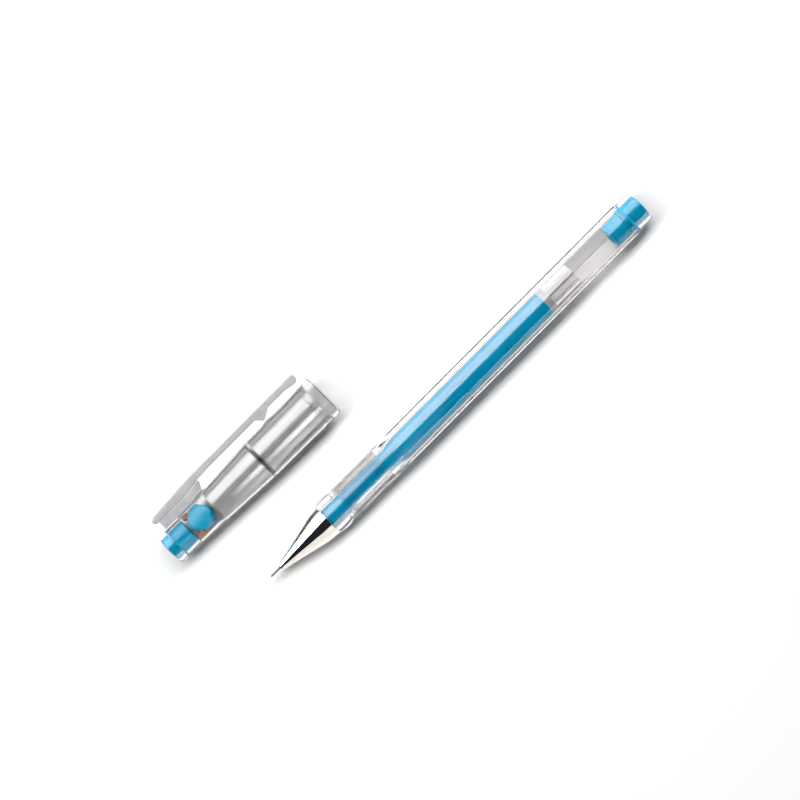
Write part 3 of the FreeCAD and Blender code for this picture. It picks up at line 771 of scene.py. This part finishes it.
def clip():
    """The one-piece frosted clip: bar, web, barb and beaded end."""
    start = span("clip_root", CAP)[0]
    flex, end = span("clip_arm", CAP)
    inner, outer, half_width = 7.75, 9.5, 1.7
    bar = [
        (start, 7.35, 0.5),
        (start + 0.5, 6.8, 0.5),
        (12.0, 6.9, 8.0),
        (17.2, 7.55, 8.0),
        (21.0, inner, 5.0),
        (38.0, inner, 0.3),
        (39.7, 6.05, 0.12),
        (42.6, inner, 0.5),
        (end - 4.2, inner, 3.0),
        (end - 2.2, 7.3, 1.5),
        (end - 0.6, 7.2, 0.7),
        (end, 7.9, 0.7),
        (end, outer - 0.2, 0.8),
        (end - 0.9, outer, 0.8),
        (21.0, outer, 4.0),
        (16.0, outer, 8.0),
        (start + 1.0, 8.72, 0.9),
        (start, 8.0, 0.5),
    ]
    outline = with_stops(softened(bar, 0.3, 5), 0.8)
    piece = slab("clip_frosted", outline, half_width, 0.35, 3, FROSTED, sharp=35)
    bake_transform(piece)
    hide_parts("clip_root", "clip_arm")
    web_start, web_top, half_width = 3.2, 7.3, 0.85
    web = [
        (web_start, 4.35, 0.0),
        (9.0, 4.45, 0.0),
        (16.4, 4.9, 0.0),
        (17.7, 7.5, 0.4),
        (12.0, web_top, 0.0),
        (web_start, web_top, 0.3),
    ]
    outline = softened(web, 0.0, 4)
    piece = slab("clip_web", outline, half_width, 0.12, 2, FROSTED, sharp=35)
    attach(piece, "cap")


# ---------------------------------------------------------------- studio


FIELD = 0.200                           # width of the view at the pen's axis
LENS = 135.0                            # focal length and sensor width, in millimetres
SENSOR = 36.0
CAMERA_HIGH = FIELD * LENS / SENSOR     # how far above the pen's axis the camera is
ROLL_OF_VIEW = math.radians(-45.15)
VIEW_X = PEN.x + 54.1 * MM              # what the view is centred on
VIEW_Y = PEN.y + 8.3 * MM
WHITE = (1.0, 1.0, 1.0)
LAMP_LEN = 1.2                          # length of the lamps that run along the pen
AWAY = 0.6                              # how far from the origin the lamps are


def camera():
    """Straight down from far off, with the pen running up to the right."""
    data = bpy.data.cameras.new("camera")
    data.lens = LENS
    data.sensor_width = SENSOR
    data.clip_start = 0.01
    data.clip_end = 20
    made = bpy.data.objects.new("camera", data)
    bpy.context.scene.collection.objects.link(made)
    made.location = (VIEW_X, VIEW_Y, PEN.z + CAMERA_HIGH)
    made.rotation_euler = (0, 0, ROLL_OF_VIEW)
    bpy.context.scene.camera = made


def towards(degrees):
    """A direction this far from straight up, leaning to +Y."""
    return Vector((0, math.sin(math.radians(degrees)), math.cos(math.radians(degrees))))


def area_light(name, direction, size, power, colour=WHITE, along=0.0):
    """A rectangular lamp this way from the origin and facing it, then moved this far along X. Its
    first size runs along X."""
    data = bpy.data.lights.new(name, "AREA")
    data.shape = "RECTANGLE"
    data.size, data.size_y = size
    data.energy = power
    data.color = colour
    made = bpy.data.objects.new(name, data)
    bpy.context.scene.collection.objects.link(made)
    out = Vector(direction).normalized()
    side = Vector((1, 0, 0))
    up = out.cross(side).normalized()
    turned = Matrix((side, up, out)).transposed().to_4x4()
    made.matrix_world = Matrix.Translation(out * AWAY + side * along) @ turned
    return made


def only(lamp, lit, casters=None):
    """Keeps a lamp's light to some pieces, and its shadows to those of the casters."""
    group = bpy.data.collections.new(lamp.name + "_on")
    for piece in lit:
        group.objects.link(piece)
    lamp.light_linking.receiver_collection = group
    if casters:
        group = bpy.data.collections.new(lamp.name + "_blocked_by")
        for piece in casters:
            group.objects.link(piece)
        lamp.light_linking.blocker_collection = group


def white_floor():
    """A wide pale sweep under everything."""
    mesh = bpy.data.meshes.new("floor")
    half = 3.0
    corners = [(-half, -half, 0), (half, -half, 0), (half, half, 0), (-half, half, 0)]
    mesh.from_pydata(corners, [], [(0, 1, 2, 3)])
    floor = bpy.data.objects.new("floor", mesh)
    bpy.context.scene.collection.objects.link(floor)
    made, tree, shader = material("white_sweep")
    tint = ramp(tree, noise(tree, 3), (0.88, 0.88, 0.88), (0.9, 0.9, 0.9))
    tree.links.new(tint, shader.inputs["Base Color"])
    shader.inputs["Roughness"].default_value = 0.9
    shader.inputs["Specular IOR Level"].default_value = 0.1
    mesh.materials.append(made)
    return floor


def studio():
    """The floor, with a lamp of its own that keeps it white, a large soft box on the cap's side, a
    weak warm lamp and a low one opposite, two that draw the bands on the cap, and a dim dome."""
    floor = white_floor()
    sleeve_names = ("rear_sleeve_silver", "front_sleeve_silver")
    pieces = [o for o in bpy.context.scene.objects if o.type == "MESH" and o is not floor]
    cap_body = [o for o in pieces if o.name in ("cap_shell_clear", *sleeve_names)]
    casters = [o for o in pieces if o.name not in ("clip_frosted", "clip_web")]
    others = [o for o in pieces if o not in cap_body and o.name != "cone_chrome"]
    only(area_light("soft_box", towards(46), (LAMP_LEN, 0.665), 14.5), pieces, casters)
    only(area_light("floor_box", towards(19), (LAMP_LEN, 0.2), 7.3), [floor], casters)
    area_light("warm_fill", (-0.45, -0.93, 0.37), (0.5, 0.5), 0.8, (1.0, 0.93, 0.84))
    only(area_light("side_fill", towards(-82), (LAMP_LEN, 0.16), 4.0, (1.0, 0.98, 0.97)), others)
    # The camera sees these two lamps' near ends mirrored in the liner, this far along the cap.
    seen_at, early, band_len = CAP.x + 16 * MM, 0.03, 0.6
    mirrored = seen_at + (seen_at - VIEW_X) * AWAY / CAMERA_HIGH
    middle = mirrored - early + band_len / 2
    only(area_light("cap_band", towards(-34), (band_len, 0.26), 4.2, along=middle), cap_body)
    only(area_light("cap_low_band", towards(-78), (band_len, 0.4), 1.9, along=middle), cap_body)
    world = bpy.data.worlds.new("studio")
    world.use_nodes = True
    world.node_tree.nodes["Background"].inputs["Color"].default_value = (0.9, 0.95, 1.0, 1)
    world.node_tree.nodes["Background"].inputs["Strength"].default_value = 0.02
    bpy.context.scene.world = world
    bpy.context.scene.view_settings.view_transform = "Standard"


camera()
barrel()
front_cone()
needle()
refill()
tail()
cap_shell()
crown()
sleeves()
inner_cap()
seal()
clip()
studio()
